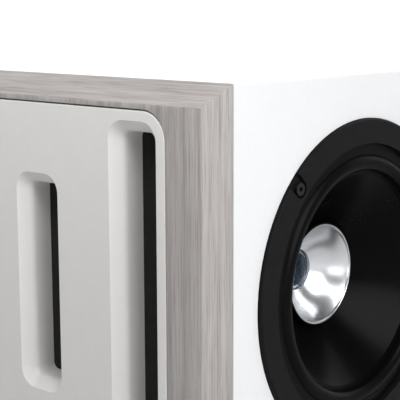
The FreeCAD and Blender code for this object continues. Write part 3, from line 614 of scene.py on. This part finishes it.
def make_front_frame():
    """An oak ring, bevelled all round outside, with a rounded opening for the plate."""
    low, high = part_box("front_frame")
    piece = add_block("oak_frame", low, high)
    edit(piece)
    choose(piece, "FACE", lambda face: face.normal.y < -0.9)
    width, height = high.x - low.x, high.z - low.z
    shrink = ((width - 2 * BEVEL_IN) / width, 1, (height - 2 * BEVEL_IN) / height)
    middle = (low + high) / 2
    bpy.ops.transform.resize(value=shrink, center_override=middle)
    bpy.ops.object.mode_set(mode="OBJECT")
    plate_low, plate_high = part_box("slotted_plate")
    gap = Vector((OPENING_GAP, 0.05, OPENING_GAP))
    cutter = rounded_block("opening", plate_low - gap, plate_high + gap, PLATE_CORNER + OPENING_GAP)
    cut_out(piece, cutter)
    apply_modifier(
        piece, "BEVEL", width=OAK_EDGE, segments=2, limit_method="ANGLE", angle_limit=math.radians(30),
    )
    apply_modifier(piece, "WEIGHTED_NORMAL", keep_sharp=True)
    finish_shape(piece)
    put_in_place(piece, "greyed_oak", "front_frame", body="cabinet")


def make_grille_cloth():
    """One sheet of cloth, stretched flat behind the plate."""
    low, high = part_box("grille_cloth")
    size = high - low
    deselect_all()
    bpy.ops.mesh.primitive_grid_add(
        x_subdivisions=56, y_subdivisions=40, size=1, location=(0, low.y + CLOTH_THICK / 2, MIDDLE_HEIGHT),
        rotation=(math.pi / 2, 0, 0),
    )
    piece = bpy.context.active_object
    piece.name = "stretched_cloth"
    piece.scale = (size.x, size.z, 1)
    bpy.ops.object.transform_apply(location=True, rotation=True, scale=True)
    apply_modifier(piece, "SOLIDIFY", thickness=CLOTH_THICK, offset=0)
    finish_shape(piece)
    put_in_place(piece, "black_cloth", "grille_cloth", body="cabinet")


# ---------------------------------------------------------------- side drivers


def roll_section(outer, rim, inner, foot_width, base, rise, low_foot, rubber, steps):
    """A surround's section, from its outer rim over its arch to its inner foot and back inside the rubber."""
    roll_outer = outer - rim
    cone_edge = inner - foot_width
    half = (roll_outer - inner) / 2
    middle = (roll_outer + inner) / 2
    foot = base - rubber
    low_top = low_foot + rubber
    section = [(foot, outer), (base, outer)]
    section += low_arch(base, middle, half, rise, steps)
    section += [(low_top, inner), (low_top, cone_edge), (low_foot, cone_edge), (low_foot, inner + rubber)]
    section += reversed(low_arch(base, middle, half - rubber, rise - rubber, steps - 2))
    section += [(foot, roll_outer - rubber)]
    return section, foot, low_top


def make_surround(side):
    """A low roll of rubber: its outer rim is glued to the basket and its inner foot meets the cone's edge."""
    low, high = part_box(f"{side}_surround")
    crest = max(abs(low.x), abs(high.x)) - FACE
    low_foot = min(abs(low.x), abs(high.x)) - FACE
    outer = (high.z - low.z) / 2
    cone_low, cone_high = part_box(f"{side}_cone")
    inner = (cone_high.z - cone_low.z) / 2
    base = crest - ROLL_RISE
    section, foot, low_top = roll_section(
        outer, RIM_WIDTH, inner, FOOT_WIDTH, base, ROLL_RISE, low_foot, RUBBER, 14
    )
    points = [on_driver(side, along, radius) for along, radius in section]
    piece = spin_round(f"{side}_roll", points, (1, 0, 0), (0, DRIVER_Y, DRIVER_Z))
    finish_shape(piece, 40)
    put_in_place(piece, "black_rubber", f"{side}_surround")
    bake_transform(piece)


def make_mid_surround():
    """The midrange driver's roll, behind the cloth."""
    low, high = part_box("mid_surround")
    centre = (low + high) / 2
    crest = low.y
    outer = (high.z - low.z) / 2
    cone_low, cone_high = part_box("mid_cone")
    inner = (cone_high.z - cone_low.z) / 2
    base = -MID_ROLL_RISE
    low_foot = crest - high.y
    section, foot, low_top = roll_section(
        outer, MID_RIM_WIDTH, inner, MID_FOOT_WIDTH, base, MID_ROLL_RISE, low_foot, MID_RUBBER, 12
    )
    points = [Vector((centre.x, crest - along, centre.z + radius)) for along, radius in section]
    piece = spin_round("mid_roll", points, (0, 1, 0), (centre.x, 0, centre.z))
    finish_shape(piece, 40)
    put_in_place(piece, "black_rubber", "mid_surround")
    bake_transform(piece)


def make_waveguide(side):
    """A polished horn that opens from the dome's throat to a rolled mouth."""
    low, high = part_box(f"{side}_waveguide")
    mouth = max(abs(low.x), abs(high.x)) - FACE
    base = min(abs(low.x), abs(high.x)) - FACE
    outer = (high.z - low.z) / 2
    inner = outer - GUIDE_WALL
    steps = 22
    throat = base + THROAT_LENGTH
    inside = [(base, THROAT_RADIUS)]
    for step in range(steps + 1):
        share = step / steps
        along = throat + (mouth - GUIDE_WALL / 2 - throat) * share
        flare = FLARE * math.sin(math.pi * share) * (1 - share)
        inside.append((along, THROAT_RADIUS + (inner - THROAT_RADIUS) * (share + flare)))
    rim = arc((mouth - GUIDE_WALL / 2, inner + GUIDE_WALL / 2), GUIDE_WALL / 2, 180, 0, 8)
    wide_base = THROAT_RADIUS + 4 * GUIDE_WALL
    outside = [(base + GUIDE_FOOT, wide_base), (base, wide_base)]
    points = [on_driver(side, along, radius) for along, radius in inside + rim[1:] + outside]
    piece = spin_round(f"{side}_horn", points, (1, 0, 0), (0, DRIVER_Y, DRIVER_Z))
    finish_shape(piece, 40)
    put_in_place(piece, "polished_metal", f"{side}_waveguide", body="cabinet")


def make_mouth_black_line(side):
    """A thin black ring round the mouth of the waveguide: a black line painted along its rim as a part."""
    low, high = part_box(f"{side}_waveguide")
    mouth = max(abs(low.x), abs(high.x)) - FACE
    outer = (high.z - low.z) / 2
    section = arc((mouth - BLACK_LINE_RADIUS, outer), BLACK_LINE_RADIUS, 0, 330, 11)
    points = [on_driver(side, along, radius) for along, radius in section]
    piece = spin_round(f"{side}_mouth_trim", points, (1, 0, 0), (0, DRIVER_Y, DRIVER_Z))
    finish_shape(piece, 60)
    put_in_place(piece, "black_rubber", body="cabinet")


def make_floor():
    deselect_all()
    bpy.ops.mesh.primitive_plane_add(size=40, location=(0, 0, 0))
    floor = bpy.context.active_object
    floor.name = "pale_floor"
    finish = Finish("pale_floor", Roughness=0.9)
    tone = finish.noise(finish.place(), 3, 2)
    finish.colour(finish.ramp(tone, (0.3, (0.62, 0.62, 0.62)), (0.7, (0.65, 0.65, 0.65))))
    floor.data.materials.append(finish.material)


def make_backdrop():
    """A glowing white wall, well behind the cabinet."""
    deselect_all()
    turn = (math.pi / 2, 0, math.radians(42))
    bpy.ops.mesh.primitive_plane_add(size=1, location=(-2.1, 2.4, 3.0), rotation=turn)
    backdrop = bpy.context.active_object
    backdrop.name = "white_backdrop"
    backdrop.scale = (24, 6, 1)
    bpy.ops.object.transform_apply(location=True, rotation=True, scale=True)
    finish = Finish("white_backdrop", Roughness=0.9, Emission_Color=(1, 1, 1, 1), Emission_Strength=1.05)
    backdrop.data.materials.append(finish.material)


# ---------------------------------------------------------------- light and camera


def aim(item, target):
    item.rotation_euler = (Vector(target) - item.location).to_track_quat("-Z", "Y").to_euler()


def add_light(name, place, size, power, target):
    data = bpy.data.lights.new(name, "AREA")
    data.shape = "RECTANGLE"
    data.size, data.size_y = size
    data.energy = power
    light = bpy.data.objects.new(name, data)
    light.location = place
    light.visible_camera = False
    bpy.context.scene.collection.objects.link(light)
    aim(light, target)


def light_studio():
    world = bpy.data.worlds.new("studio")
    world.use_nodes = True
    sky = world.node_tree.nodes["Background"]
    sky.inputs["Color"].default_value = (0.95, 0.97, 1.0, 1)
    sky.inputs["Strength"].default_value = 0.18
    bpy.context.scene.world = world
    add_light("right_softbox", (2.2, -0.4, 1.25), (1.6, 1.8), 46, target=(0.18, 0, 0.13))
    add_light("left_softbox", (-1.8, 0.7, 1.7), (1.2, 1.8), 3, target=(0, -0.1, 0.25))
    add_light("front_strip", (0.05, -0.37, 0.47), (0.8, 0.10), 1.15, target=(0, -0.16, 0.20))
    add_light("low_card", (0.66, -0.82, 0.10), (0.45, 0.35), 0.9, target=(0.15, -0.03, 0.12))
    bpy.context.scene.view_settings.view_transform = "Standard"


def set_camera():
    data = bpy.data.cameras.new("camera")
    data.sensor_width = SENSOR
    data.lens = LENS
    camera = bpy.data.objects.new("camera", data)
    camera.location = CAMERA_PLACE
    angles = (90 - CAMERA_TILT, CAMERA_ROLL, CAMERA_TURN)
    camera.rotation_euler = [math.radians(angle) for angle in angles]
    bpy.context.scene.collection.objects.link(camera)
    bpy.context.scene.camera = camera


set_camera()
light_studio()
dress_nodes()
make_front_frame()
make_grille_cloth()
for driver_side in SIDES:
    make_surround(driver_side)
    make_waveguide(driver_side)
    make_mouth_black_line(driver_side)
make_mid_surround()
make_floor()
make_backdrop()
